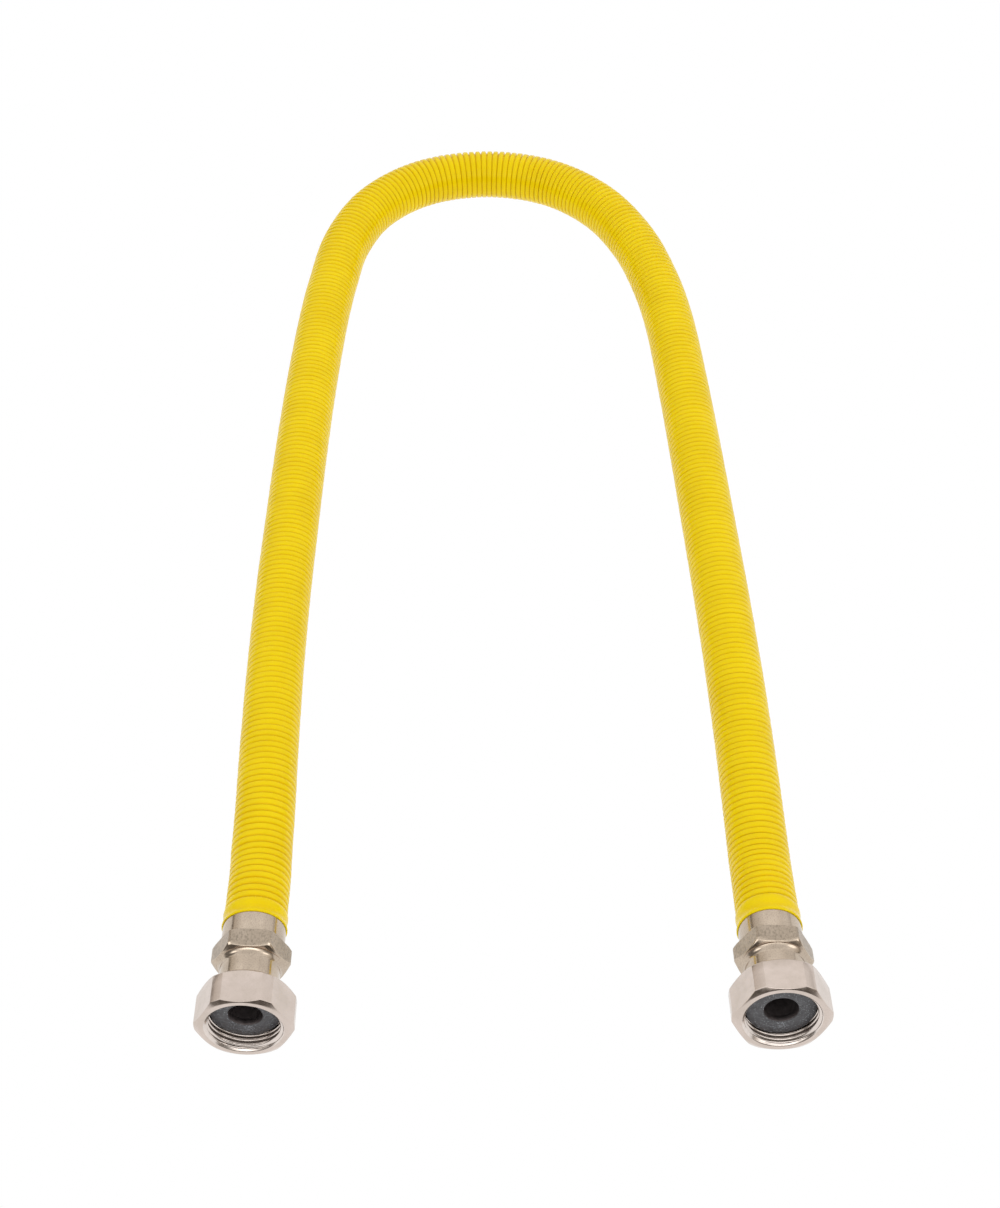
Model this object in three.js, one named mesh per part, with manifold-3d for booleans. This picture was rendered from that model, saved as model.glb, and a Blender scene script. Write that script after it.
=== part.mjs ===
// Flexible gas hose: a sheathed metal pipe with a loose union nut at each end. Millimetres, +Z up.
// The hose lies on the floor in a long U. Each fitting is drawn along its own axis from the end
// of the cover (station 0) to the nose, then turned and moved to that end of the hose.
import {
  CatmullRomCurve3, Color, Curve, ExtrudeGeometry, Float32BufferAttribute, Group, LatheGeometry,
  Matrix4, Mesh, MeshStandardMaterial, Path, Shape, Vector2, Vector3, BufferGeometry,
} from "three";
import { mergeVertices } from "three/addons/utils/BufferGeometryUtils.js";
import Module from "manifold-3d";

const wasm = await Module();
wasm.setup();

// Clearance between pieces that touch.
const GAP = 0.3;

// Hose sections, and how finely the two tubes are stepped.
const COVER_RADIUS = 11;
const COVER_BORE = 8.8;
const PIPE_RADIUS = 8.5;
const PIPE_BORE = 7.2;
const TUBE_SIDES = 12;
const TUBE_STEPS = 56;

// Middle of the hose between the straight ends, left to right.
const ROUTE = [
  [-89.3, 43.6, 11.04],
  [-89.5, 63.6, 11],
  [-90.1, 90.5, 11],
  [-90.5, 128.5, 11],
  [-90.2, 168.5, 11],
  [-89.2, 208.5, 11],
  [-88.0, 248.5, 11],
  [-86.2, 288.5, 11],
  [-83.5, 328.5, 11],
  [-80.3, 357.3, 11],
  [-75.2, 385.8, 11],
  [-62.6, 412.2, 11],
  [-39.9, 430.8, 11],
  [-10.1, 437.3, 11],
  [19.4, 430.8, 11],
  [42.5, 412.6, 11],
  [57.8, 386.8, 11],
  [66.8, 358.2, 11],
  [72.1, 328.5, 11],
  [75.7, 288.5, 11],
  [78.6, 248.5, 11],
  [81.2, 208.5, 11],
  [83.7, 168.5, 11],
  [85.8, 128.5, 11],
  [87.0, 98.5, 11],
  [87.7, 75.6, 11],
  [88.2, 55.6, 11],
  [88.5, 40.6, 11.3],
];

// Each end: where the cover stops, how the fitting points, and how far its nut has slid back.
const LEFT_END = { at: [-89.11, 10.22, 13.213], turn: -0.2, rise: 4.6, slidBack: 0.0 };
const RIGHT_END = { at: [88.89, 8.02, 16.5], turn: 0.55, rise: 10.0, slidBack: 1.3 };
const STRAIGHT_STEP = 12;
const STRAIGHT_POINTS = 3;

// Inside thread of the union nut, G 3/4. The neck, the collar and the nut follow from it.
const THREAD_MAJOR = 13.22;
const THREAD_DEPTH = 1.16;
const THREAD_MINOR = THREAD_MAJOR - THREAD_DEPTH;
const THREAD_PITCH = 1.814;
const THREAD_ROOT = 0.3;
const THREAD_LIP = 1.52;
const THREAD_OVERLAP = 0.15;
const THREAD_FACETS = 18;

// Fitting body, turned from hexagon bar.
const BORE = 6.2;
const TAIL_LENGTH = 16.4;
const SPIGOT_RADIUS = PIPE_BORE - GAP;
const SPIGOT_LENGTH = 6;
const SLEEVE_RADIUS = COVER_RADIUS - 0.05;
const SLEEVE_END = 8.1;
const HEX_FLATS = 24;
const HEX_CORNER_RADIUS = 13.6;
const HEX_ROLL = 2;
const HEX_LENGTH = 6;
const CONE_LENGTH = 1.5;
const COLLAR_START = 30.4;
const COLLAR_LENGTH = 1.9;
const COLLAR_CLEARANCE = 0.56;
const COLLAR_RADIUS = THREAD_MINOR - COLLAR_CLEARANCE;
const COLLAR_STEP = 1.2;
const COLLAR_CHAMFER = 0.3;
const NECK_RADIUS = COLLAR_RADIUS - COLLAR_STEP;
const NECK_FILLET = 1;
const CONE_RADIUS = NECK_RADIUS + NECK_FILLET;
const HEX_END = SLEEVE_END + HEX_LENGTH;
const CONE_END = HEX_END + CONE_LENGTH;
const COLLAR_END = COLLAR_START + COLLAR_LENGTH;

// Sealing washer, which rests on the collar.
const GASKET_LIP = 0.2;
const GASKET_HOLE = BORE - GASKET_LIP;
const GASKET_CLEARANCE = 0.36;
const GASKET_RADIUS = THREAD_MINOR - GASKET_CLEARANCE;
const GASKET_THICKNESS = 2.4;

// Spring ring that keeps the nut behind the collar.
const RING_CLEARANCE = 0.5;
const RING_INNER = NECK_RADIUS + RING_CLEARANCE;
const RING_WIDTH = 1.5;
const RING_OUTER = RING_INNER + RING_WIDTH;
const RING_THICKNESS = 1.2;
const RING_OPENING = 40;
const RING_FRONT = COLLAR_START - GAP;

// Union nut, a hexagon whose corners are turned down.
const NUT_WALL = 2.28;
const NUT_FLATS = 2 * (THREAD_MAJOR + NUT_WALL);
const NUT_LENGTH = 14.4;
const NUT_CORNER_STEP = 1.35;
const NUT_CORNER_RADIUS = NUT_FLATS / 2 + NUT_CORNER_STEP;
const NUT_FACE_STEP = 0.4;
const NUT_FACE_RADIUS = NUT_FLATS / 2 - NUT_FACE_STEP;
const NUT_BACK_STEP = 2.5;
const NUT_BACK_FACE = NUT_FLATS / 2 - NUT_BACK_STEP;
const NUT_BACK_CONE = 1.6;
const NUT_REAR_CORNER_CONE = 1.3;
const NUT_FRONT_CORNER_CONE = 1.05;
const NUT_BACK_CLEARANCE = 0.6;
const NUT_BACK_HOLE = NECK_RADIUS + NUT_BACK_CLEARANCE;
const NUT_BACK_WALL = 2.8;
const NUT_MOUTH_STEP = 0.1;
const NUT_MOUTH = THREAD_MAJOR + NUT_MOUTH_STEP;
const NUT_MOUTH_CONE = 1.1;
const GROOVE_CLEARANCE = 0.4;
const GROOVE_RADIUS = RING_OUTER + GROOVE_CLEARANCE;
const GROOVE_PLAY = 0.1;
const GROOVE_WIDTH = RING_THICKNESS + 2 * GROOVE_PLAY;
const GROOVE_CONE = 0.4;
const THREAD_RELIEF = 1.6;
const NUT_BACK = RING_FRONT - RING_THICKNESS - GROOVE_PLAY - NUT_BACK_WALL;

const FACETS = 36;

function radians(degrees) {
  return degrees * Math.PI / 180;
}

function toSolid(geometry) {
  const plain = geometry.index ? geometry.clone() : geometry;
  plain.deleteAttribute("normal");
  plain.deleteAttribute("uv");
  const merged = mergeVertices(plain, 1e-4);
  return new wasm.Manifold(new wasm.Mesh({
    numProp: 3,
    vertProperties: new Float32Array(merged.attributes.position.array),
    triVerts: new Uint32Array(merged.index.array),
  }));
}

function toGeometry(solid) {
  const mesh = solid.getMesh();
  const geometry = new BufferGeometry();
  geometry.setAttribute("position", new Float32BufferAttribute(mesh.vertProperties, 3));
  geometry.setIndex(Array.from(mesh.triVerts));
  return geometry;
}

// Solid of revolution about the fitting's axis, from [radius, station] pairs.
function turned(profile, facets = FACETS) {
  const points = profile.map(([radius, station]) => new Vector2(radius, station));
  const geometry = new LatheGeometry(points, facets);
  geometry.rotateX(Math.PI / 2);
  return toSolid(geometry);
}

function polygon(radius, sides) {
  const points = [];
  for (let i = 0; i < sides; i += 1) {
    const angle = i * 2 * Math.PI / sides;
    points.push(new Vector2(radius * Math.cos(angle), radius * Math.sin(angle)));
  }
  return points;
}

// Hexagonal bar with a flat on top, between two stations.
function hexagonBar(flats, start, end) {
  const corner = flats / 2 / Math.cos(radians(30));
  const shape = new Shape(polygon(corner, 6));
  const bar = new ExtrudeGeometry(shape, { depth: end - start, bevelEnabled: false });
  bar.translate(0, 0, start);
  return toSolid(bar);
}

// Direction of a fitting's nose.
function noseOf(end) {
  const turn = radians(end.turn);
  const rise = radians(end.rise);
  return new Vector3(Math.sin(turn) * Math.cos(rise), -Math.cos(turn) * Math.cos(rise), Math.sin(rise));
}

// Moves a piece drawn along +Z, with +Y as its top, to the end of the hose.
function placement(end) {
  const nose = noseOf(end);
  const side = new Vector3(0, 0, 1).cross(nose).normalize();
  const top = nose.clone().cross(side);
  const matrix = new Matrix4().makeBasis(side, top, nose);
  matrix.setPosition(...end.at);
  return matrix;
}

function straightPoints(end) {
  const nose = noseOf(end);
  const points = [];
  for (let i = 0; i < STRAIGHT_POINTS; i += 1) {
    points.push(new Vector3(...end.at).addScaledVector(nose, -i * STRAIGHT_STEP));
  }
  return points;
}

function centreline() {
  const middle = ROUTE.map((point) => new Vector3(...point));
  const points = [...straightPoints(LEFT_END), ...middle, ...straightPoints(RIGHT_END).reverse()];
  return new CatmullRomCurve3(points, false, "catmullrom", 0.5);
}

// Part of a curve, with the same share of its length left off each end.
class Inset extends Curve {
  constructor(curve, margin) {
    super();
    this.curve = curve;
    this.margin = margin;
  }

  getPoint(t, target = new Vector3()) {
    return this.curve.getPointAt(this.margin + t * (1 - 2 * this.margin), target);
  }
}

function tube(path, radius, bore, steps) {
  const shape = new Shape(polygon(radius, TUBE_SIDES));
  const inner = bore / Math.cos(Math.PI / TUBE_SIDES);
  shape.holes.push(new Path(polygon(inner, TUBE_SIDES).reverse()));
  return new ExtrudeGeometry(shape, { steps, extrudePath: path, bevelEnabled: false });
}

function fittingBody() {
  const round = turned([
    [BORE, -TAIL_LENGTH - SPIGOT_LENGTH],
    [SPIGOT_RADIUS, -TAIL_LENGTH - SPIGOT_LENGTH],
    [SPIGOT_RADIUS, -TAIL_LENGTH],
    [COVER_BORE - GAP, -TAIL_LENGTH],
    [COVER_BORE - GAP, GAP],
    [SLEEVE_RADIUS, GAP],
    [SLEEVE_RADIUS, SLEEVE_END + 0.5],
    [CONE_RADIUS, SLEEVE_END + 0.5],
    [CONE_RADIUS, CONE_END],
    [CONE_RADIUS - 0.6 * NECK_FILLET, CONE_END + 0.4 * NECK_FILLET],
    [NECK_RADIUS, CONE_END + 1.3 * NECK_FILLET],
    [NECK_RADIUS, COLLAR_START],
    [COLLAR_RADIUS, COLLAR_START],
    [COLLAR_RADIUS, COLLAR_END - COLLAR_CHAMFER],
    [COLLAR_RADIUS - COLLAR_CHAMFER, COLLAR_END],
    [BORE, COLLAR_END],
    [BORE, -TAIL_LENGTH - SPIGOT_LENGTH],
  ]);
  const trim = turned([
    [BORE, SLEEVE_END],
    [HEX_CORNER_RADIUS - 0.7, SLEEVE_END],
    [HEX_CORNER_RADIUS, SLEEVE_END + 0.4],
    [HEX_CORNER_RADIUS, HEX_END],
    [CONE_RADIUS, CONE_END],
    [BORE, CONE_END],
    [BORE, SLEEVE_END],
  ]);
  const hexagon = hexagonBar(HEX_FLATS, SLEEVE_END - 1, CONE_END + 1).rotate([0, 0, -HEX_ROLL]);
  return toGeometry(round.add(hexagon.intersect(trim)));
}

function gasket() {
  const start = COLLAR_END + GAP;
  const end = start + GASKET_THICKNESS;
  const profile = [
    [GASKET_HOLE, start],
    [GASKET_RADIUS, start],
    [GASKET_RADIUS, end],
    [GASKET_HOLE, end],
    [GASKET_HOLE, start],
  ];
  return toGeometry(turned(profile, 36));
}

function retainingRing() {
  const half = radians(RING_OPENING / 2);
  const top = Math.PI / 2;
  const shape = new Shape();
  shape.absarc(0, 0, RING_OUTER, top + half, top - half + 2 * Math.PI, false);
  shape.absarc(0, 0, RING_INNER, top - half + 2 * Math.PI, top + half, true);
  shape.closePath();
  const ring = new ExtrudeGeometry(shape, { depth: RING_THICKNESS, bevelEnabled: false, curveSegments: 16 });
  ring.translate(0, 0, RING_FRONT - RING_THICKNESS);
  return ring;
}

// Straight bar with the section of the thread groove, wound into a right-hand helix.
function threadGroove(start, turns) {
  const inside = THREAD_MINOR - THREAD_OVERLAP;
  const section = new Shape([
    new Vector2(-THREAD_LIP / 2, inside),
    new Vector2(THREAD_LIP / 2, inside),
    new Vector2(THREAD_ROOT / 2, THREAD_MAJOR),
    new Vector2(-THREAD_ROOT / 2, THREAD_MAJOR),
  ]);
  const steps = Math.round(turns * THREAD_FACETS);
  const bar = new ExtrudeGeometry(section, { depth: turns, steps, bevelEnabled: false });
  const position = bar.attributes.position;
  for (let i = 0; i < position.count; i += 1) {
    const angle = position.getZ(i) * 2 * Math.PI;
    const radius = position.getY(i);
    const station = start + position.getZ(i) * THREAD_PITCH + position.getX(i);
    position.setXYZ(i, radius * Math.cos(angle), radius * Math.sin(angle), station);
  }
  return toSolid(bar);
}

function swivelNut() {
  const front = NUT_BACK + NUT_LENGTH;
  const envelope = turned([
    [0, NUT_BACK],
    [NUT_BACK_FACE, NUT_BACK],
    [NUT_FACE_RADIUS, NUT_BACK + NUT_BACK_CONE],
    [NUT_CORNER_RADIUS, NUT_BACK + NUT_BACK_CONE + NUT_REAR_CORNER_CONE],
    [NUT_CORNER_RADIUS, front - NUT_FRONT_CORNER_CONE],
    [NUT_FACE_RADIUS, front],
    [0, front],
  ]);
  const groove = NUT_BACK + NUT_BACK_WALL;
  const grooveEnd = groove + GROOVE_WIDTH;
  const hollow = turned([
    [0, NUT_BACK - 1],
    [NUT_BACK_HOLE, NUT_BACK - 1],
    [NUT_BACK_HOLE, groove],
    [GROOVE_RADIUS, groove],
    [GROOVE_RADIUS, grooveEnd],
    [THREAD_MINOR, grooveEnd + GROOVE_CONE],
    [THREAD_MINOR, front - NUT_MOUTH_CONE],
    [NUT_MOUTH, front],
    [NUT_MOUTH + 1, front + 1],
    [0, front + 1],
  ]);
  const bar = hexagonBar(NUT_FLATS, NUT_BACK - 1, front + 1);
  const threadStart = grooveEnd + THREAD_RELIEF;
  const turns = (front + 1.2 - threadStart) / THREAD_PITCH;
  const cut = hollow.add(threadGroove(threadStart, turns));
  return toGeometry(bar.intersect(envelope).subtract(cut));
}

function addPiece(group, name, geometry, color, roughness, metalness) {
  const material = new MeshStandardMaterial({ color: new Color(color), roughness, metalness });
  const mesh = new Mesh(geometry, material);
  mesh.name = name;
  group.add(mesh);
}

function addFitting(group, side, end) {
  const still = placement(end);
  const slid = still.clone().multiply(new Matrix4().makeTranslation(0, 0, -end.slidBack));
  addPiece(group, `${side}_fitting_body`, fittingBody().applyMatrix4(still), "#b0a89c", 0.4, 1);
  addPiece(group, `${side}_gasket`, gasket().applyMatrix4(still), "#3a3b3e", 0.8, 0);
  addPiece(group, `${side}_retaining_ring`, retainingRing().applyMatrix4(slid), "#8e9094", 0.35, 1);
  addPiece(group, `${side}_swivel_nut`, swivelNut().applyMatrix4(slid), "#cfc6be", 0.3, 1);
}

const hose = new Group();
const line = centreline();
// The pipe starts one step inside the cover, so that both tubes bend at the same places.
const pipeLine = new Inset(line, 1 / TUBE_STEPS);
const cover = tube(line, COVER_RADIUS, COVER_BORE, TUBE_STEPS);
const pipe = tube(pipeLine, PIPE_RADIUS, PIPE_BORE, TUBE_STEPS - 2);
addPiece(hose, "cover", cover, "#f2d013", 0.4, 0);
addPiece(hose, "corrugated_pipe", pipe, "#a9abad", 0.4, 1);
addFitting(hose, "left", LEFT_END);
addFitting(hose, "right", RIGHT_END);

export default hose;
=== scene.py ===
"""Flexible gas hose laid in a U, with a loose union nut at each end. Metres, the frame of the part."""

import math
import random

import bpy
import numpy as np
from mathutils import Matrix, Vector


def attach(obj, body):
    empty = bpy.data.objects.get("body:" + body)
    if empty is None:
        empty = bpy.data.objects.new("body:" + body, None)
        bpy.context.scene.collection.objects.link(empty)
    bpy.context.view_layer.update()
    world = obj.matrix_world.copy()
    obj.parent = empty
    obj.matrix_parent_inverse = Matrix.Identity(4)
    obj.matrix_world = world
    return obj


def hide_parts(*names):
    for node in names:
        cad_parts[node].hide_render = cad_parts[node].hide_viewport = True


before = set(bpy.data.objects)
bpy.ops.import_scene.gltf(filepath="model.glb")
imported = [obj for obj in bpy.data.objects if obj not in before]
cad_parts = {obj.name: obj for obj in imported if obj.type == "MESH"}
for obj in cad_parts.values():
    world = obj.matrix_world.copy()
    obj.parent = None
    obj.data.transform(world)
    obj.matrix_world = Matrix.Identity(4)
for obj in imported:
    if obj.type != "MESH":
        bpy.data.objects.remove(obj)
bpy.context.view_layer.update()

MM = 0.001

# ---- route of the hose
# Hose centreline between the straight ends, left to right.
ROUTE = [
    (-0.0893, 0.0436, 0.01104),
    (-0.0895, 0.0636, 0.01100),
    (-0.0901, 0.0905, 0.01100),
    (-0.0905, 0.1285, 0.01100),
    (-0.0902, 0.1685, 0.01100),
    (-0.0892, 0.2085, 0.01100),
    (-0.0880, 0.2485, 0.01100),
    (-0.0862, 0.2885, 0.01100),
    (-0.0835, 0.3285, 0.01100),
    (-0.0803, 0.3573, 0.01100),
    (-0.0752, 0.3858, 0.01100),
    (-0.0626, 0.4122, 0.01100),
    (-0.0399, 0.4308, 0.01100),
    (-0.0101, 0.4373, 0.01100),
    (0.0194, 0.4308, 0.01100),
    (0.0425, 0.4126, 0.01100),
    (0.0578, 0.3868, 0.01100),
    (0.0668, 0.3582, 0.01100),
    (0.0721, 0.3285, 0.01100),
    (0.0757, 0.2885, 0.01100),
    (0.0786, 0.2485, 0.01100),
    (0.0812, 0.2085, 0.01100),
    (0.0837, 0.1685, 0.01100),
    (0.0858, 0.1285, 0.01100),
    (0.0870, 0.0985, 0.01100),
    (0.0877, 0.0756, 0.01100),
    (0.0882, 0.0556, 0.01100),
    (0.0885, 0.0406, 0.01130),
]
# End of the cover, its turn aside and rise in degrees, and how far its nut is pushed back in mm.
ENDS = {
    "left": {"at": (-0.08911, 0.01022, 0.013213), "turn": -0.2, "rise": 4.6, "back": 0.0},
    "right": {"at": (0.08889, 0.00802, 0.0165), "turn": 0.55, "rise": 10.0, "back": 1.3},
}
STRAIGHT_STEP, STRAIGHT_POINTS = 0.012, 3
SPAN_POINTS = 48
# How far the centreline is followed each way to find its direction.
NEARBY = 5e-4


def nose_of(end):
    """Direction in which an end of the hose points."""
    turn, rise = math.radians(end["turn"]), math.radians(end["rise"])
    return Vector((math.sin(turn) * math.cos(rise), -math.cos(turn) * math.cos(rise), math.sin(rise)))


def placement(end, slid=0.0):
    """Where a piece drawn along +Z, with +Y as its top, sits at the end of the hose."""
    nose = nose_of(end)
    side = Vector((0, 0, 1)).cross(nose).normalized()
    top = nose.cross(side)
    at = Vector(end["at"]) - nose * slid * MM
    turned_to = Matrix((side, top, nose)).transposed().to_4x4()
    return Matrix.Translation(at) @ turned_to


def straight_points(end):
    return [Vector(end["at"]) - nose_of(end) * STRAIGHT_STEP * i for i in range(STRAIGHT_POINTS)]


def centreline():
    """Catmull-Rom curve through the route, as close points."""
    points = straight_points(ENDS["left"]) + [Vector(p) for p in ROUTE]
    points += straight_points(ENDS["right"])[::-1]
    p = np.array([tuple(v) for v in points])
    p = np.vstack([2 * p[0] - p[1], p, 2 * p[-1] - p[-2]])
    t = np.linspace(0, 1, SPAN_POINTS, endpoint=False)[:, None]
    spans = []
    for a, b, c, d in zip(p, p[1:], p[2:], p[3:]):
        square = 2 * a - 5 * b + 4 * c - d
        cube = 3 * b - a - 3 * c + d
        spans.append(0.5 * (2 * b + (c - a) * t + square * t**2 + cube * t**3))
    return np.vstack([*spans, p[-2]])


LINE = centreline()
LINE_AT = np.concatenate([[0], np.cumsum(np.linalg.norm(np.diff(LINE, axis=0), axis=1))])
LENGTH = float(LINE_AT[-1])


def line_points(distance):
    """Points of the centreline at distances from its left end, in metres."""
    return np.stack([np.interp(distance, LINE_AT, LINE[:, k]) for k in range(3)], 1)


def along(distance):
    """Points and directions of the centreline at distances from its left end, in metres."""
    direction = line_points(distance + NEARBY) - line_points(distance - NEARBY)
    return line_points(distance), direction / np.linalg.norm(direction, axis=1)[:, None]


# ---- meshes
def even_angles(sides):
    return np.arange(sides) * 2 * math.pi / sides


def grid_mesh(name, rings, smooth_angle=None):
    """Closed skin over rings of points, each ring and the list of rings closing on themselves."""
    count, sides = rings.shape[:2]
    i = np.arange(count)[:, None]
    j = np.arange(sides)[None, :]
    i2, j2 = (i + 1) % count, (j + 1) % sides
    quads = np.stack([i * sides + j, i * sides + j2, i2 * sides + j2, i2 * sides + j], 2)
    mesh = bpy.data.meshes.new(name)
    mesh.from_pydata(rings.reshape(-1, 3).tolist(), [], quads.reshape(-1, 4).tolist())
    mesh.shade_smooth()
    if smooth_angle:
        mesh.set_sharp_from_angle(angle=math.radians(smooth_angle))
    obj = bpy.data.objects.new(name, mesh)
    bpy.context.scene.collection.objects.link(obj)
    return obj


def set_floats(obj, name, values):
    attribute = obj.data.attributes.new(name, "FLOAT", "POINT")
    attribute.data.foreach_set("value", np.asarray(values, np.float32).ravel())


def sides_of(direction):
    """Sideways and upward directions square to the centreline."""
    side = np.cross(direction, (0, 0, 1.0))
    side /= np.linalg.norm(side, axis=1)[:, None]
    return side, np.cross(side, direction)


def swept_skin(name, distance, radius, angles):
    """Tube round the centreline. Distance and radius in mm have a row a ring and a column an angle."""
    count, sides = distance.shape
    point, direction = along(distance.ravel() * MM)
    side, up = sides_of(direction)
    turn = np.tile(angles, count)[:, None]
    points = point + radius.reshape(-1, 1) * MM * (np.cos(turn) * side + np.sin(turn) * up)
    return grid_mesh(name, points.reshape(count, sides, 3))


def plain_rings(pairs, sides):
    """Distances and radii of round rings given as (distance, radius)."""
    return np.array([[s] * sides for s, _ in pairs]), np.array([[r] * sides for _, r in pairs])


# ---- cover, in mm along the centreline from its left end
COVER_R = 11.0
LEFT_CUFF, RIGHT_CUFF = 6.9, 8.0
# Outside of a cuff from its end, as (station, radius), drawn for a cuff of this length.
CUFF_DRAWN = 6.9
CUFF_SHAPE = [
    (0.0, 11.1), (0.08, 11.34), (0.35, 11.44), (0.8, 11.38), (1.4, 11.15), (2.1, 10.98), (2.8, 10.96),
    (3.6, 11.08), (4.4, 11.26), (5.2, 11.3), (5.9, 11.18), (6.3, 11.02), (6.6, 10.8),
]
# Painted shade along a cuff from its end, darker in its dip and next to the first rib, as (station,
# shade).
CUFF_PAINTED_SHADE = [(0.0, 0.0), (1.2, 0.0), (2.4, 0.22), (3.4, 0.0), (6.0, 0.0), (6.6, 0.6)]
LAST_GROOVE = 0.5
# Inside of the cover over a fitting's sleeve, as (station, radius), and between the two sleeves.
MOUTH_SHAPE = [(0.0, 11.0), (0.9, 10.98), (1.6, 10.4), (5.8, 10.4)]
COVER_BORE_R, COVER_BORE_START, COVER_BORE_RINGS = 9.4, 6.4, 70
# Length of a rib and its valley along the middle of the hose: longer where the hose bends.
PITCH_AT = [0, 40, 62, 95, 120, 335, 362, 420, 450, 480, 510, 545, 572, 600, 860, 876, 900, 940]
PITCH = [
    2.74, 2.72, 2.56, 2.53, 2.48, 2.49, 2.64, 2.70, 2.78, 2.72, 2.64, 2.67, 2.55, 2.51, 2.48, 2.56, 2.67,
    2.70,
]
HALF_PITCH = 1.2
PITCH_JITTER = 0.06
PITCH_SEED, RIB_SEED = 5, 9
RIDGE = 2.16
# Distance each way over which the skin's length is compared with the centreline's.
STRETCH_REACH = 0.6
# Stretch at which a groove is as deep, and its painted shade as dark, as on the bend.
FULL_BEND = 0.12
VALLEY_HALF_WIDTH = (0.16, 0.7)
# Depth of a groove on the straight, what a bend adds, and what an opened valley adds.
STRAIGHT_DEPTH, BENT_DEPTH, OPEN_DEPTH = 0.36, 0.2, 0.85
OPEN_FROM, OPEN_SPAN = 0.3, 0.6
DEPTH_SPREAD = (0.88, 1.12)
MOST_SUNK = 0.07
# Painted shade in the valleys: its strength on the straight, and what a bend adds.
STRAIGHT_PAINTED_SHADE, BENT_PAINTED_SHADE = 0.68, 0.32
# Rib profile: where the valley's wall is half way up, and the two rings that round off the ridge's edge.
WALL_AT, EDGE_AT, TOP_AT = 0.7, 0.13, 0.42


def stretch(distance, radius, angles):
    """How much longer the skin is than the centreline, for each distance and angle round the hose."""
    skins = []
    for shift in (-STRETCH_REACH, STRETCH_REACH):
        point, direction = along((distance + shift) * MM)
        side, up = sides_of(direction)
        ring = np.cos(angles)[None, :, None] * side[:, None]
        ring += np.sin(angles)[None, :, None] * up[:, None]
        skins.append(point[:, None] + radius * MM * ring)
    return np.linalg.norm(skins[1] - skins[0], axis=2) / (2 * STRETCH_REACH * MM)


def rib_edges(start, end):
    """Middles of the valleys between ribs, a little uneven."""
    draw = random.Random(PITCH_SEED)
    edges = [start]
    while edges[-1] < end - HALF_PITCH:
        edges.append(edges[-1] + float(np.interp(edges[-1], PITCH_AT, PITCH)))
    edges = np.array(edges)
    edges = start + (edges - start) * (end - start) / (edges[-1] - start)
    edges[1:-1] += [draw.uniform(-PITCH_JITTER, PITCH_JITTER) for _ in edges[1:-1]]
    return edges


def ribbed_part(angles):
    """Rings over the ribs. A ridge keeps its width, so a valley opens where the skin is stretched."""
    edges = rib_edges(LEFT_CUFF, LENGTH / MM - RIGHT_CUFF)
    a, b = edges[:-1, None], edges[1:, None]
    longer = stretch((edges[:-1] + edges[1:]) / 2, COVER_R, angles)
    gap = (b - a) * longer - RIDGE
    bent = np.clip(np.abs(longer - 1) / FULL_BEND, 0, 1)
    opened = np.clip((gap - OPEN_FROM) / OPEN_SPAN, 0, 1)
    valley = np.clip(gap / 2, *VALLEY_HALF_WIDTH) / longer
    draw = random.Random(RIB_SEED)
    deep = STRAIGHT_DEPTH + BENT_DEPTH * bent + OPEN_DEPTH * opened
    deep = deep * np.array([draw.uniform(*DEPTH_SPREAD) for _ in edges[1:]])[:, None]
    sunk = np.array([draw.uniform(0, MOST_SUNK) for _ in edges[1:]])[:, None]
    # Painted shade in each valley, darker where the hose bends.
    shade = STRAIGHT_PAINTED_SHADE + BENT_PAINTED_SHADE * bent
    # Distance along the hose, share of the groove's depth, share of its painted shade.
    rows = [
        (a + 0 * valley, 1.0, 1.0),
        (a + valley * WALL_AT, 0.66, 0.5),
        (a + valley + EDGE_AT, 0.17, 0.14),
        (a + valley + TOP_AT, 0.03, 0.0),
        (b - valley - TOP_AT, 0.03, 0.0),
        (b - valley - EDGE_AT, 0.17, 0.14),
        (b - valley * WALL_AT, 0.66, 0.5),
    ]
    distance = np.stack([row[0] for row in rows], 1)
    radius = np.stack([COVER_R - sunk - deep * row[1] for row in rows], 1)
    painted_shade = np.stack([shade * row[2] for row in rows], 1)
    sides = len(angles)
    return distance.reshape(-1, sides), radius.reshape(-1, sides), painted_shade.reshape(-1, sides)


def ribbed_cover(name, sides=36):
    """Ribs between two cuffs, and the inside, with painted shade stored on the mesh for the material."""
    angles = even_angles(sides)
    total = LENGTH / MM
    left = [(s * LEFT_CUFF / CUFF_DRAWN, r) for s, r in CUFF_SHAPE]
    right = [(total - s * RIGHT_CUFF / CUFF_DRAWN, r) for s, r in reversed(CUFF_SHAPE)]
    last_groove = [(total - RIGHT_CUFF, COVER_R - LAST_GROOVE)]
    bore = np.linspace(total - COVER_BORE_START, COVER_BORE_START, COVER_BORE_RINGS)
    inside = [(total - s, r) for s, r in MOUTH_SHAPE]
    inside += [(s, COVER_BORE_R) for s in bore]
    inside += reversed(MOUTH_SHAPE)
    rib_distance, rib_radius, rib_painted_shade = ribbed_part(angles)
    parts = [plain_rings(left, sides), (rib_distance, rib_radius)]
    parts += [plain_rings(last_groove + right, sides), plain_rings(inside, sides)]
    distance = np.vstack([part[0] for part in parts])
    radius = np.vstack([part[1] for part in parts])
    painted_shade = np.zeros_like(distance)
    # Painted shade of the cuffs' rings.
    painted_shade_at, tint = zip(*CUFF_PAINTED_SHADE)
    cuff_painted_shade = np.interp([s for s, _ in CUFF_SHAPE], painted_shade_at, tint)[:, None]
    # Painted shade: the cuffs, the valleys between ribs, and the last valley at full strength.
    ribs_end = len(left) + len(rib_painted_shade)
    painted_shade[:len(left)] = cuff_painted_shade
    painted_shade[len(left):ribs_end] = rib_painted_shade
    painted_shade[ribs_end] = 1.0
    painted_shade[ribs_end + 1:][:len(right)] = cuff_painted_shade[::-1]
    obj = swept_skin(name, distance, radius, angles)
    set_floats(obj, "painted_shade", painted_shade)
    return obj


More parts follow.
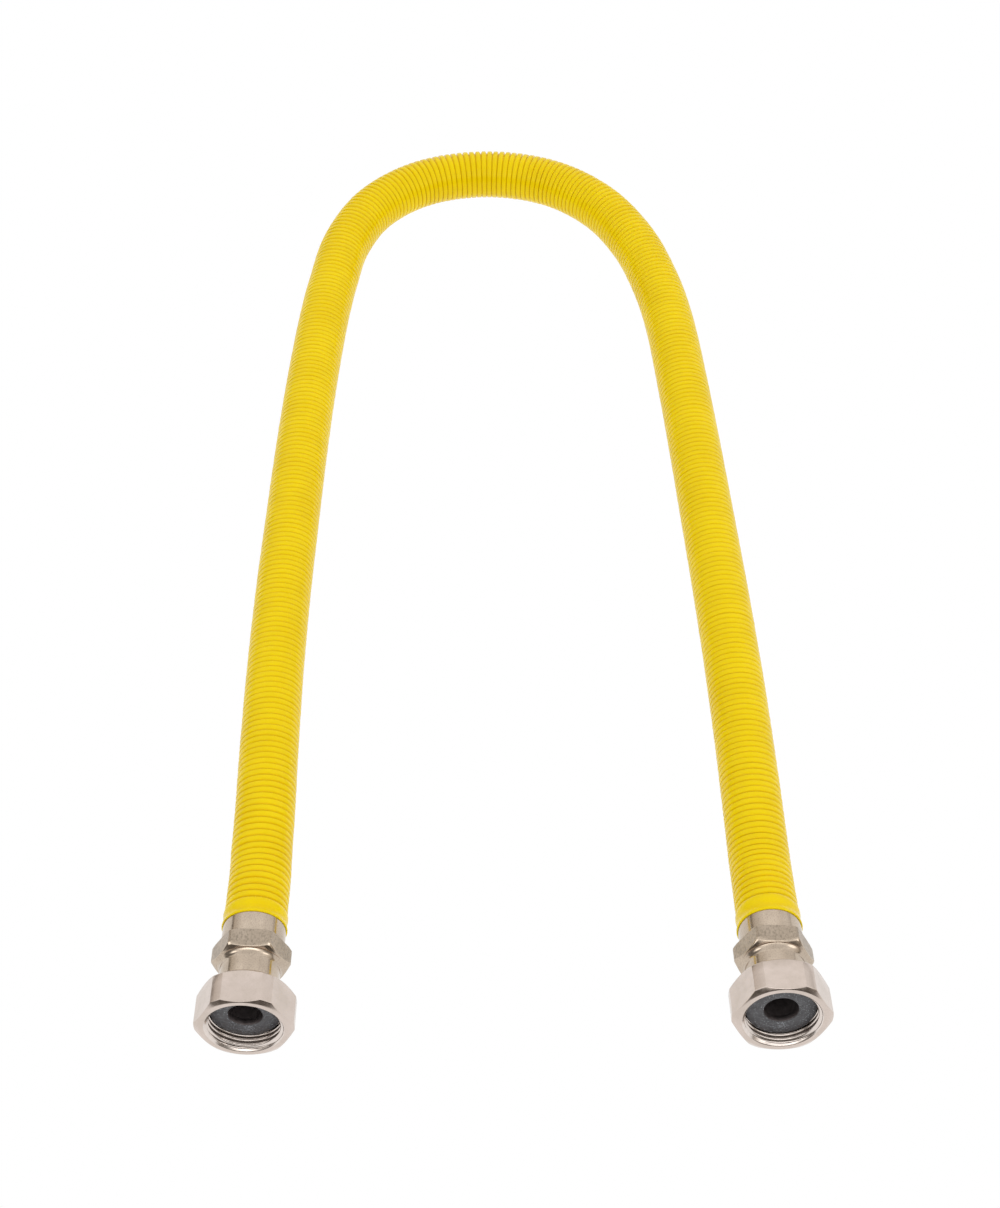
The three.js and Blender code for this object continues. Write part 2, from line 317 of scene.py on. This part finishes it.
# ---- corrugated pipe, in mm from each end of the cover
PIPE_START = 16.8
PIPE_PITCH = 2.5
PIPE_R, PIPE_WAVE, PIPE_WALL = 8.3, 0.75, 0.35
PIPE_END_R, PIPE_END_BORE_R = 8.4, 8.0
PIPE_END_LENGTH, PIPE_WAVES_START = 2, 3
RINGS_A_WAVE = 6


def bellows_pipe(name, sides=20):
    """Corrugated pipe inside the cover, with a plain end over each fitting's spigot."""
    start, end = PIPE_START, LENGTH / MM - PIPE_START
    waves = round((end - start - 2 * PIPE_WAVES_START) / PIPE_PITCH)
    rings = waves * RINGS_A_WAVE + 1
    steps = np.linspace(start + PIPE_WAVES_START, end - PIPE_WAVES_START, rings)
    wave = PIPE_R - PIPE_WAVE * np.cos(np.arange(rings) * math.pi / (RINGS_A_WAVE / 2))
    outside = list(zip(steps, wave))
    inside = [(s, r - PIPE_WALL) for s, r in reversed(outside)]
    first = [(start, PIPE_END_BORE_R), (start, PIPE_END_R), (start + PIPE_END_LENGTH, PIPE_END_R)]
    last = [(end - PIPE_END_LENGTH, PIPE_END_R), (end, PIPE_END_R), (end, PIPE_END_BORE_R)]
    distance, radius = plain_rings(first + outside + last + inside, sides)
    return swept_skin(name, distance, radius, even_angles(sides))


# ---- turned pieces, drawn along +Z from the end of the cover, in mm
def turned_rings(rings, angles):
    """Points of rings given as (radius, station) in mm, each a number or one value an angle."""
    points = np.zeros((len(rings), len(angles), 3))
    for k, (radius, station) in enumerate(rings):
        points[k, :, 0] = radius * np.cos(angles)
        points[k, :, 1] = radius * np.sin(angles)
        points[k, :, 2] = station
    return points * MM


def hexagon(flats, round_by, angles):
    """Distance from the middle to the outline of a hexagon with rounded corners and a flat on top."""
    apex = (flats / 2 - round_by) / math.cos(math.radians(30))
    off = np.abs((angles + math.pi / 6) % (math.pi / 3) - math.pi / 6)
    limit = math.atan2(round_by * 0.5, apex + round_by * math.cos(math.radians(30)))
    flat = flats / 2 / np.cos(math.pi / 6 - off)
    arc = apex * np.cos(off) + np.sqrt(np.maximum(round_by**2 - (apex * np.sin(off)) ** 2, 0))
    return np.where(off < limit, arc, flat)


def hex_angles(step, near, roll=0.0):
    """Even angles, with closer ones on both sides of each hexagon corner."""
    values = set(round(a, 5) for a in np.arange(0, 360, step))
    for corner in range(0, 360, 60):
        values |= {round((corner - roll + s * d) % 360, 5) for d in near for s in (-1, 1)}
    return np.radians(sorted(values))


def flat_start(flats, corner_radius):
    """Degrees between a hexagon's corner and its flat, where the corners are turned down to a radius."""
    return 30 - math.degrees(math.acos(flats / 2 / corner_radius))


def corner_columns(angles, flats, corner_radius, roll=0.0):
    """Where the flats of a hexagon meet its turned-down corners."""
    off = flat_start(flats, corner_radius)
    marks = [(corner - roll + s * off) % 360 for corner in range(0, 360, 60) for s in (-1, 1)]
    return [int(np.argmin(np.abs(angles - math.radians(mark)))) for mark in marks]


def crease(obj, columns, sides, first, last):
    """Sharp edges along some columns of a grid mesh, from one ring to another."""
    mesh = obj.data
    ends = np.zeros(len(mesh.edges) * 2, np.int32)
    mesh.edges.foreach_get("vertices", ends)
    ends = ends.reshape(-1, 2)
    ring, column = ends // sides, ends % sides
    chosen = (column[:, 0] == column[:, 1]) & np.isin(column[:, 0], columns)
    chosen &= (ring.min(1) >= first) & (ring.max(1) <= last)
    sharp = mesh.attributes["sharp_edge"]
    flags = np.zeros(len(mesh.edges), bool)
    sharp.data.foreach_get("value", flags)
    sharp.data.foreach_set("value", flags | chosen)


def paint(obj, rings, first, last, slot):
    """Gives the faces between two rings another material slot."""
    sides = len(obj.data.polygons) // len(rings)
    index = np.zeros(len(obj.data.polygons), np.int32)
    obj.data.polygons.foreach_get("material_index", index)
    index[first * sides:last * sides] = slot
    obj.data.polygons.foreach_set("material_index", index)


# Fitting body: radii and stations of its forms.
BORE = 6.2
TAIL, TAIL_R, SPIGOT_START, SPIGOT_R = -22.4, 6.9, -16.4, 8.5
SLEEVE_R = 10.95
SLEEVE_END = 8.1
HEX_FLATS = 24
HEX_CORNER_R = 13.6
HEX_ROLL = 2.0
HEX_END = 14.1
# Radius beyond which the hexagon's back leans forward, and by how much for each mm.
HEX_BACK_R, HEX_BACK_LEAN = 12.9, 0.6
# Front corners of the hexagon: slope of the cone, and the broad edge turned on it.
HEX_CONE, HEX_EDGE, HEX_EDGE_BEFORE, HEX_EDGE_AFTER = 1.43, 0.3, 0.63, 0.7
CORNER_ROUNDING = 0.1
FILLET = [
    (11.75, 15.38), (11.68, 15.42), (11.48, 15.45), (11.4, 15.49), (11.3, 15.58), (11.1, 15.77),
    (10.9, 15.97), (10.7, 16.2), (10.54, 16.5), (10.4, 16.8),
]
NECK_R = 10.3
COLLAR_START, COLLAR_END, COLLAR_R = 30.4, 32.3, 11.5
GASKET_START, GASKET_END = 32.35, 35.0
GASKET_SIDES = 96
# Material slots of the turned pieces, after the first one.
HEX_SLOT, BORE_SLOT, INNER_SLOT = 1, 2, 1
# Angle in degrees over which an edge is drawn sharp.
BODY_SHARP, GASKET_SHARP, NUT_SHARP = 38, 50, 34


def fitting_body(name):
    """Tail, spigot and sleeve, a hexagon with turned-down corners, a neck, and a collar at its front."""
    near_corners = (0, 1.0, flat_start(HEX_FLATS, HEX_CORNER_R), 2.6, 3.4)
    angles = hex_angles(2.0, near_corners, HEX_ROLL)
    h = hexagon(HEX_FLATS, CORNER_ROUNDING, angles + math.radians(HEX_ROLL))
    h = np.minimum(h, HEX_CORNER_R)
    back = SLEEVE_END + np.maximum(h - HEX_BACK_R, 0) * HEX_BACK_LEAN
    cone = HEX_END + (HEX_CORNER_R - h) / HEX_CONE
    edge = (h - HEX_FLATS / 2) * HEX_EDGE
    edge_start, edge_end = cone - HEX_EDGE_BEFORE * edge, cone + HEX_EDGE_AFTER * edge
    shank = [
        (BORE, TAIL), (TAIL_R, TAIL), (TAIL_R, SPIGOT_START), (SPIGOT_R, SPIGOT_START), (SPIGOT_R, -5.5),
        (10.2, -5.2), (10.2, -1.4), (SLEEVE_R, -1.0), (SLEEVE_R, 3.0), (SLEEVE_R, SLEEVE_END - 0.5),
        (SLEEVE_R, SLEEVE_END - 0.2), (SLEEVE_R + 0.08, SLEEVE_END - 0.05), (SLEEVE_R + 0.3, SLEEVE_END),
    ]
    flats = [
        (np.minimum(h, 12.8) - 0.12, SLEEVE_END), (np.minimum(h, HEX_BACK_R), SLEEVE_END + 0.07),
        (h, back + 0.18), (h, back + 0.5), (h, 11.0), (h, edge_start - 0.3),
    ]
    turned_corners = [
        (h, edge_start - 0.05), (h - 0.03, edge_start), (h - edge - 0.03, edge_end - 0.01),
        (h - edge - 0.07, edge_end + 0.03), (h - edge - 0.16, edge_end + 0.1),
    ]
    neck = [
        (NECK_R, 17.1), (NECK_R, 17.5), (NECK_R, 22.0), (NECK_R, COLLAR_START - 0.1),
        (NECK_R + 0.1, COLLAR_START),
    ]
    collar = [
        (COLLAR_R - 0.1, COLLAR_START), (COLLAR_R, COLLAR_START + 0.1), (COLLAR_R, COLLAR_END - 0.25),
        (COLLAR_R - 0.25, COLLAR_END),
    ]
    bore = [(BORE + 0.1, COLLAR_END), (BORE, COLLAR_END - 0.1), (BORE, 12.0), (BORE, 0.0)]
    rings = shank + flats + turned_corners + FILLET + neck + collar + bore
    obj = grid_mesh(name, turned_rings(rings, angles), BODY_SHARP)
    paint(obj, rings, len(shank) - 1, len(shank + flats) - 1, HEX_SLOT)
    # The bore's dark material is painted shade down the hole.
    paint(obj, rings, len(rings) - len(bore) - 1, len(rings), BORE_SLOT)
    columns = corner_columns(angles, HEX_FLATS, HEX_CORNER_R, HEX_ROLL)
    crease(obj, columns, len(angles), len(shank), len(shank + flats + turned_corners) + 1)
    return obj


def gasket(name):
    """Flat washer with rounded edges, its hole in the bore's dark material of painted shade."""
    a, b = GASKET_START, GASKET_END
    rings = [
        (5.85, a + 0.15), (5.95, a), (11.5, a), (11.7, a + 0.15), (11.7, b - 0.2), (11.62, b - 0.06),
        (11.45, b), (9.5, b), (7.6, b), (6.3, b), (6.04, b - 0.05), (5.87, b - 0.2),
    ]
    obj = grid_mesh(name, turned_rings(rings, even_angles(GASKET_SIDES)), GASKET_SHARP)
    # The hole's wall takes the bore's dark painted shade.
    paint(obj, rings, len(rings) - 1, len(rings), INNER_SLOT)
    return obj


# Union nut. Its back face is at this station when it is pulled forward.
NUT_BACK = 26.0
NUT_LENGTH = 14.4
NUT_FLATS = 31
NUT_CORNER_R = 16.85
NUT_FACE_R = 15.1
# Where the corners are turned down behind, and their slopes behind and in front.
NUT_REAR, NUT_REAR_SLOPE, NUT_FORE_SLOPE = 1.3, 0.743, 0.6
# Lead-in cone of the mouth: first radius, depth of its rounded rim, slope.
MOUTH_R, MOUTH_RIM, MOUTH_SLOPE = 13.3, 0.25, 1.08
THREAD_PITCH = 1.814
THREAD_MIDDLE = 12.64
THREAD_HALF = 0.581
THREAD_SHARP_HALF = 0.871
THREAD_ROUNDING = 1.25
THREAD_PHASE = 0.42
THREAD_STOP = 5.8
THREAD_RING_STEP = 0.095


def thread_radius(station, angles):
    """Whitworth form of a right-hand inside thread, as the bore's radius."""
    turn = (station / THREAD_PITCH - angles / (2 * math.pi) - THREAD_PHASE) % 1.0
    sharp = (1 - 4 * np.abs(turn - 0.5)) * THREAD_SHARP_HALF
    peak = math.tanh(THREAD_ROUNDING * THREAD_SHARP_HALF / THREAD_HALF)
    return THREAD_MIDDLE + THREAD_HALF * np.tanh(sharp / THREAD_HALF * THREAD_ROUNDING) / peak


def soft_maximum(a, b, rounding=0.1):
    """The larger of two radii, with the corner where they cross rounded off."""
    return (a + b + np.sqrt((a - b) ** 2 + rounding**2)) / 2


def swivel_nut(name):
    """Domed back, turned-down corners, a threaded bore and a lip behind that holds the ring."""
    near_corners = (0, 3.0, 5.4, 6.5, flat_start(NUT_FLATS, NUT_CORNER_R), 7.4, 8.4, 10.0)
    angles = hex_angles(1.5, near_corners)
    h = np.minimum(hexagon(NUT_FLATS, CORNER_ROUNDING, angles), NUT_CORNER_R)
    back, front = NUT_BACK, NUT_BACK + NUT_LENGTH
    rear = back + NUT_REAR + (h - NUT_FACE_R) * NUT_REAR_SLOPE
    fore = front - (h - NUT_FACE_R) * NUT_FORE_SLOPE
    chamfer = np.minimum(h - 0.24, 15.5)
    dome = [
        (10.9, back + 0.2), (11.1, back), (12.8, back), (13.2, back + 0.04), (13.6, back + 0.16),
        (14.2, back + 0.5), (14.75, back + 0.95),
    ]
    outside = [
        (h - 0.2, rear - 0.12), (h - 0.05, rear + 0.04), (h, rear + 0.3), (h, back + 6.0),
        (h, front - 4.0), (h, fore - 0.4), (h, fore - 0.09), (h - 0.012, fore - 0.045),
        (h - 0.035, fore - 0.005), (h - 0.07, fore + 0.03), (h - 0.15, fore + 0.09),
        (chamfer, front - (chamfer - NUT_FACE_R) * NUT_FORE_SLOPE),
    ]
    face = [
        (NUT_FACE_R + 0.05, front - 0.04), (NUT_FACE_R - 0.08, front), (13.75, front),
        (13.5, front - 0.05), (MOUTH_R, front - MOUTH_RIM),
    ]
    thread = []
    cone_start, thread_stop = front - MOUTH_RIM, back + THREAD_STOP
    station = cone_start - 0.05
    while station > thread_stop:
        cone = MOUTH_R - (cone_start - station) * MOUTH_SLOPE
        thread.append((soft_maximum(thread_radius(station, angles), cone), station))
        station -= THREAD_RING_STEP
    relief = [
        (12.4, thread_stop - 0.2), (12.7, thread_stop - 0.6), (12.7, back + 4.4), (12.7, back + 2.8),
        (11.0, back + 2.8), (10.9, back + 2.7),
    ]
    rings = dome + outside + face + thread + relief
    obj = grid_mesh(name, turned_rings(rings, angles), NUT_SHARP)
    paint(obj, rings, len(dome + outside + face) - 2, len(rings), INNER_SLOT)
    columns = corner_columns(angles, NUT_FLATS, NUT_CORNER_R)
    crease(obj, columns, len(angles), len(dome), len(dome + outside))
    return obj


# ---- materials
# Colour sockets of a Mix node, whose names repeat: two inputs and the result.
MIX_A, MIX_B, MIX_RESULT = 6, 7, 2
# Darker and lighter colour, least and most roughness, strength and scale of the specks, and where they
# run along one way, their stretch.
METALS = {
    "pipe_steel": ((0.5, 0.5, 0.5), (0.62, 0.62, 0.62), (0.25, 0.4), 0.1, 900),
    "turned_nickel": ((0.49, 0.405, 0.32), (0.59, 0.492, 0.395), (0.13, 0.19), 0.2, 2300),
    "bar_nickel": ((0.375, 0.31, 0.24), (0.48, 0.4, 0.32), (0.26, 0.4), 0.34, 1700, (1, 1, 0.6)),
    "smooth_nickel": ((0.60, 0.515, 0.455), (0.68, 0.585, 0.53), (0.16, 0.24), 0.03, 700),
    "bright_nickel": ((0.68, 0.61, 0.56), (0.78, 0.70, 0.65), (0.16, 0.23), 0.03, 700),
    # Rough bore, its dark colour painted shade down the hole; the seal's hole wall has it too.
    "bore_painted_shade": ((0.19, 0.165, 0.165), (0.27, 0.24, 0.24), (0.5, 0.65), 0.2, 900),
    "spring_steel": ((0.4, 0.4, 0.4), (0.5, 0.5, 0.5), (0.25, 0.4), 0.1, 1500),
}
# Pale dust on the seal, and a painted sheen that lightens its face, gather round this point low on the
# face, within this distance.
DUST_AND_SHEEN_MIDDLE, DUST_AND_SHEEN_REACH, DUST_AND_SHEEN_GATHERED = (0.0005, -0.0072, GASKET_END * MM), 0.004, 0.075
DUST_AND_SHEEN_COLOUR = (0.5, 0.53, 0.57, 1)


def new_material(name):
    material = bpy.data.materials.new(name)
    material.use_nodes = True
    nodes = material.node_tree.nodes
    return material, nodes, material.node_tree.links, nodes["Principled BSDF"]


def add(nodes, kind, **values):
    """New node with some of its inputs and settings filled in."""
    node = nodes.new(kind)
    for key, value in values.items():
        if key in node.inputs:
            node.inputs[key].default_value = value
        else:
            setattr(node, key, value)
    return node


def ramp(nodes, links, source, stops):
    """Colour for a number, from stops given as (position, colour)."""
    node = nodes.new("ShaderNodeValToRGB")
    elements = node.color_ramp.elements
    while len(elements) < len(stops):
        elements.new(0.5)
    for element, (position, colour) in zip(elements, stops):
        element.position = position
        element.color = (*colour, 1)
    links.new(source, node.inputs["Fac"])
    return node.outputs["Color"]


def grey_ramp(nodes, links, source, stops):
    """Number for a number, from stops given as (position, number)."""
    return ramp(nodes, links, source, [(position, (value,) * 3) for position, value in stops])


def noise(nodes, links, source, scale, detail, roughness=0.55):
    node = add(nodes, "ShaderNodeTexNoise", Scale=scale, Detail=detail, Roughness=roughness)
    links.new(source, node.inputs["Vector"])
    return node.outputs["Fac"]


def mixed(nodes, links, factor, first, second, blend_type="MIX"):
    """Mix of two colours. What isn't a node's output is set as a plain value."""
    node = add(nodes, "ShaderNodeMix", data_type="RGBA", blend_type=blend_type)
    for socket, value in (("Factor", factor), (MIX_A, first), (MIX_B, second)):
        if isinstance(value, bpy.types.NodeSocket):
            links.new(value, node.inputs[socket])
        else:
            node.inputs[socket].default_value = value
    return node.outputs[MIX_RESULT]


def fade(nodes, links, source, start, end, top=1.0, smooth=True):
    """A number taken from 0 at the start of a range to the top value at its end."""
    node = nodes.new("ShaderNodeMapRange")
    node.interpolation_type = "SMOOTHSTEP" if smooth else "LINEAR"
    node.inputs["From Min"].default_value = start
    node.inputs["From Max"].default_value = end
    node.inputs["To Max"].default_value = top
    links.new(source, node.inputs["Value"])
    return node.outputs["Result"]


def add_bump(nodes, links, height, shader, strength, distance):
    bump = add(nodes, "ShaderNodeBump", Strength=strength, Distance=distance)
    links.new(height, bump.inputs["Height"])
    links.new(bump.outputs["Normal"], shader.inputs["Normal"])


def cover_material():
    """Soft yellow plastic, with painted shade down in the valleys between its ribs."""
    material, nodes, links, shader = new_material("yellow_cover")
    position = nodes.new("ShaderNodeTexCoord").outputs["Object"]
    mottle = noise(nodes, links, position, scale=60, detail=4)
    tint = ramp(nodes, links, mottle, [(0.3, (0.872, 0.632, 0.001)), (0.7, (0.931, 0.7, 0.002))])
    # Painted shade in the valleys and on the cuffs, read from the mesh, darkens the colour.
    painted_shade = add(nodes, "ShaderNodeAttribute", attribute_name="painted_shade").outputs["Fac"]
    painted_shade_colours = [
        (0.0, (1, 1, 1)),
        (0.3, (0.95, 0.88, 0.5)),
        (0.68, (0.80, 0.68, 0.08)),
        (1.0, (0.48, 0.41, 0.01)),
    ]
    shade = ramp(nodes, links, painted_shade, painted_shade_colours)
    links.new(mixed(nodes, links, 1.0, tint, shade, "MULTIPLY"), shader.inputs["Base Color"])
    fine = noise(nodes, links, position, scale=1800, detail=2)
    gloss = grey_ramp(nodes, links, fine, [(0.3, 0.18), (0.75, 0.3)])
    links.new(gloss, shader.inputs["Roughness"])
    shader.inputs["Specular IOR Level"].default_value = 0.25
    shader.inputs["Specular Tint"].default_value = (1, 0.9, 0.42, 1)
    shader.inputs["Subsurface Weight"].default_value = 0.04
    shader.inputs["Subsurface Radius"].default_value = (0.9, 0.55, 0.05)
    shader.inputs["Subsurface Scale"].default_value = 0.0008
    lumps = noise(nodes, links, position, scale=420, detail=3)
    add_bump(nodes, links, lumps, shader, strength=0.2, distance=0.00015)
    return material


def metal_material(name, dark, light, rough, speckle, grain_scale, grain_stretch=(1, 1, 1)):
    """Plated metal with soft blotches of colour, a haze, and fine specks that can run along one way."""
    material, nodes, links, shader = new_material(name)
    position = nodes.new("ShaderNodeTexCoord").outputs["Object"]
    blotch = noise(nodes, links, position, scale=130, detail=4)
    tint = ramp(nodes, links, blotch, [(0.32, dark), (0.68, light)])
    mapping = add(nodes, "ShaderNodeMapping", Scale=grain_stretch)
    links.new(position, mapping.inputs["Vector"])
    marks = noise(nodes, links, mapping.outputs["Vector"], grain_scale, detail=3, roughness=0.7)
    speck_tones = [(0.34, 1 - speckle), (0.5, 1), (0.7, 1 + 0.3 * speckle)]
    specks = grey_ramp(nodes, links, marks, speck_tones)
    links.new(mixed(nodes, links, 1.0, tint, specks, "MULTIPLY"), shader.inputs["Base Color"])
    shader.inputs["Metallic"].default_value = 1.0
    haze = noise(nodes, links, position, scale=500, detail=3)
    gloss = grey_ramp(nodes, links, haze, [(0.3, rough[0]), (0.72, rough[1])])
    links.new(gloss, shader.inputs["Roughness"])
    add_bump(nodes, links, marks, shader, strength=0.6 * speckle, distance=0.00003)
    return material


def gasket_material():
    """Dark rubber with a dull bloom, dusty with pale specks, and a painted sheen towards the lower
    middle of its face.
    """
    material, nodes, links, shader = new_material("seal_rubber")
    position = nodes.new("ShaderNodeTexCoord").outputs["Object"]
    cloud = noise(nodes, links, position, scale=350, detail=5)
    tint = ramp(nodes, links, cloud, [(0.35, (0.055, 0.054, 0.058)), (0.7, (0.09, 0.09, 0.098))])
    specks = noise(nodes, links, position, scale=2600, detail=2)
    away = add(nodes, "ShaderNodeVectorMath", operation="DISTANCE")
    links.new(position, away.inputs[0])
    away.inputs[1].default_value = DUST_AND_SHEEN_MIDDLE
    # Painted sheen: more of the pale colour towards the lower middle of the face, with the dust specks.
    gathered_dust_and_sheen = fade(nodes, links, away.outputs["Value"], DUST_AND_SHEEN_REACH, 0.0, DUST_AND_SHEEN_GATHERED)
    amount = add(nodes, "ShaderNodeMath", operation="ADD")
    links.new(specks, amount.inputs[0])
    links.new(gathered_dust_and_sheen, amount.inputs[1])
    dust_and_sheen = grey_ramp(nodes, links, amount.outputs["Value"], [(0.63, 0), (0.66, 1)])
    links.new(mixed(nodes, links, dust_and_sheen, tint, DUST_AND_SHEEN_COLOUR), shader.inputs["Base Color"])
    shader.inputs["Roughness"].default_value = 0.42
    add_bump(nodes, links, cloud, shader, strength=0.3, distance=0.00006)
    return material


# ---- camera, floor and light
CAMERA_AT, CAMERA_TILT = (-0.00404, -0.37153, 0.6247), 41
FOCAL_PIXELS, PHOTO_HEIGHT_PIXELS, SENSOR = 2055, 1208, 36
FLOOR_HALF_WIDTH, FLOOR_FRONT, FLOOR_BACK, FLOOR_HEIGHT = 1.2, -0.15, 1.6, -0.0002
# Light by the height of its direction, from -1 for straight down to 1 for straight up.
WALLS = [
    (-1.0, (1.0, 1.0, 1.0)),
    (0.02, (1.0, 1.0, 1.0)),
    (0.055, (0.22, 0.19, 0.16)),
    (0.13, (0.22, 0.19, 0.16)),
    (0.18, (0.74, 0.69, 0.63)),
    (0.36, (0.80, 0.77, 0.73)),
    (0.5, (0.97, 0.95, 0.93)),
    (0.64, (1.09, 1.08, 1.07)),
    (0.80, (0.97, 0.96, 0.95)),
    (1.0, (0.88, 0.87, 0.86)),
]
FRONT = [
    (-1.0, (1.0, 1.0, 1.0)),
    (-0.16, (0.95, 0.94, 0.93)),
    (-0.08, (0.13, 0.115, 0.10)),
    (0.32, (0.08, 0.07, 0.06)),
    (0.44, (0.9, 0.88, 0.85)),
    (0.54, (1.5, 1.48, 1.45)),
    (0.58, (3.0, 3.0, 3.0)),
    (0.64, (3.0, 3.0, 3.0)),
    (0.70, (1.3, 1.28, 1.25)),
    (1.0, (0.88, 0.87, 0.86)),
]
# The front begins and is complete where a direction's Y has these values.
FRONT_BEGINS, FRONT_COMPLETE = -0.6, -0.8
# Darker and lighter areas of the studio: direction, inner and outer angle in degrees, colour.
AREAS = [
    ((-0.95, -0.3, 0.2), 14, 42, (0.2, 0.19, 0.18)),
    ((0.7, 0.62, 0.36), 5, 24, (0.95, 0.94, 0.93)),
    ((0.74, -0.45, 0.5), 6, 15, (2.2, 2.18, 2.15)),
    ((-0.74, -0.45, 0.5), 6, 15, (2.2, 2.18, 2.15)),
    ((-0.62, 0.49, -0.62), 6, 20, (0.86, 0.86, 0.87)),
]


def add_camera():
    camera = bpy.data.objects.new("camera", bpy.data.cameras.new("camera"))
    camera.location = CAMERA_AT
    camera.rotation_euler = (math.radians(CAMERA_TILT), 0, 0)
    camera.data.sensor_width = SENSOR
    camera.data.lens = FOCAL_PIXELS / PHOTO_HEIGHT_PIXELS * SENSOR
    camera.data.clip_start = 0.01
    bpy.context.scene.collection.objects.link(camera)
    bpy.context.scene.camera = camera


def add_floor():
    """Plain floor, evenly white, from just in front of the nuts to well behind the bend."""
    outline = [(-1, FLOOR_FRONT), (1, FLOOR_FRONT), (1, FLOOR_BACK), (-1, FLOOR_BACK)]
    corners = [(side * FLOOR_HALF_WIDTH, y, FLOOR_HEIGHT) for side, y in outline]
    mesh = bpy.data.meshes.new("floor")
    mesh.from_pydata(corners, [], [(0, 1, 2, 3)])
    material, _, _, shader = new_material("white_floor")
    shader.inputs["Base Color"].default_value = (0, 0, 0, 1)
    shader.inputs["Specular IOR Level"].default_value = 0.0
    shader.inputs["Emission Color"].default_value = (1, 1, 1, 1)
    shader.inputs["Emission Strength"].default_value = 1.0
    mesh.materials.append(material)
    floor = bpy.data.objects.new("floor", mesh)
    bpy.context.scene.collection.objects.link(floor)


def area_mask(nodes, links, source, direction, inner, outer):
    """1 within a cone of directions, fading to 0 at its outer angle."""
    dot = add(nodes, "ShaderNodeVectorMath", operation="DOT_PRODUCT")
    links.new(source, dot.inputs[0])
    dot.inputs[1].default_value = Vector(direction).normalized()
    start, end = math.cos(math.radians(outer)), math.cos(math.radians(inner))
    return fade(nodes, links, dot.outputs["Value"], start, end)


def add_world():
    """All the light: white from below, pale walls over a dark line, and behind the camera a dark front
    under a bright strip. Soft areas are laid over both."""
    world = bpy.data.worlds.new("studio")
    world.use_nodes = True
    bpy.context.scene.world = world
    nodes, links = world.node_tree.nodes, world.node_tree.links
    direction = nodes.new("ShaderNodeTexCoord").outputs["Generated"]
    split = nodes.new("ShaderNodeSeparateXYZ")
    links.new(direction, split.inputs["Vector"])
    height = fade(nodes, links, split.outputs["Z"], -1, 1, smooth=False)
    walls, front = (
        ramp(nodes, links, height, [((z + 1) / 2, shade) for z, shade in stops])
        for stops in (WALLS, FRONT)
    )
    ahead = fade(nodes, links, split.outputs["Y"], FRONT_BEGINS, FRONT_COMPLETE)
    colour = mixed(nodes, links, ahead, walls, front)
    for where, inner, outer, shade in AREAS:
        mask = area_mask(nodes, links, direction, where, inner, outer)
        colour = mixed(nodes, links, mask, colour, (*shade, 1))
    links.new(colour, nodes["Background"].inputs["Color"])
    nodes["Background"].inputs["Strength"].default_value = 1.0


# ---- the scene
add_camera()
add_floor()
add_world()
bpy.context.scene.view_settings.view_transform = "Standard"

metals = {name: metal_material(name, *look) for name, look in METALS.items()}
cover = ribbed_cover("ribbed_cover")
pipe = bellows_pipe("bellows_pipe")
cover.data.materials.append(cover_material())
pipe.data.materials.append(metals["pipe_steel"])
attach(cover, "hose")
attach(pipe, "hose")
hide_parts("cover")
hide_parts("corrugated_pipe")

body_looks = (metals["turned_nickel"], metals["bar_nickel"], metals["bore_painted_shade"])
gasket_looks = (gasket_material(), metals["bore_painted_shade"])
nut_looks = (metals["smooth_nickel"], metals["bright_nickel"])
for side, end in ENDS.items():
    still, slid = placement(end), placement(end, end["back"])
    # Object, place, body that carries it, node that it stands for, short name of the piece, materials.
    pieces = [
        (fitting_body(f"{side}_turned_body"), still, "hose", "fitting_body", "fitting", body_looks),
        (gasket(f"{side}_seal"), still, "hose", "gasket", "gasket", gasket_looks),
        (swivel_nut(f"{side}_union_nut"), slid, f"{side}_nut", "swivel_nut", "nut", nut_looks),
    ]
    for obj, matrix, body, node, slot, looks in pieces:
        obj.matrix_world = matrix
        for look in looks:
            obj.data.materials.append(look)
        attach(obj, body)
        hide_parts(f"{side}_{node}")
    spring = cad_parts[f"{side}_retaining_ring"]
    spring.data.materials.clear()
    spring.data.materials.append(metals["spring_steel"])
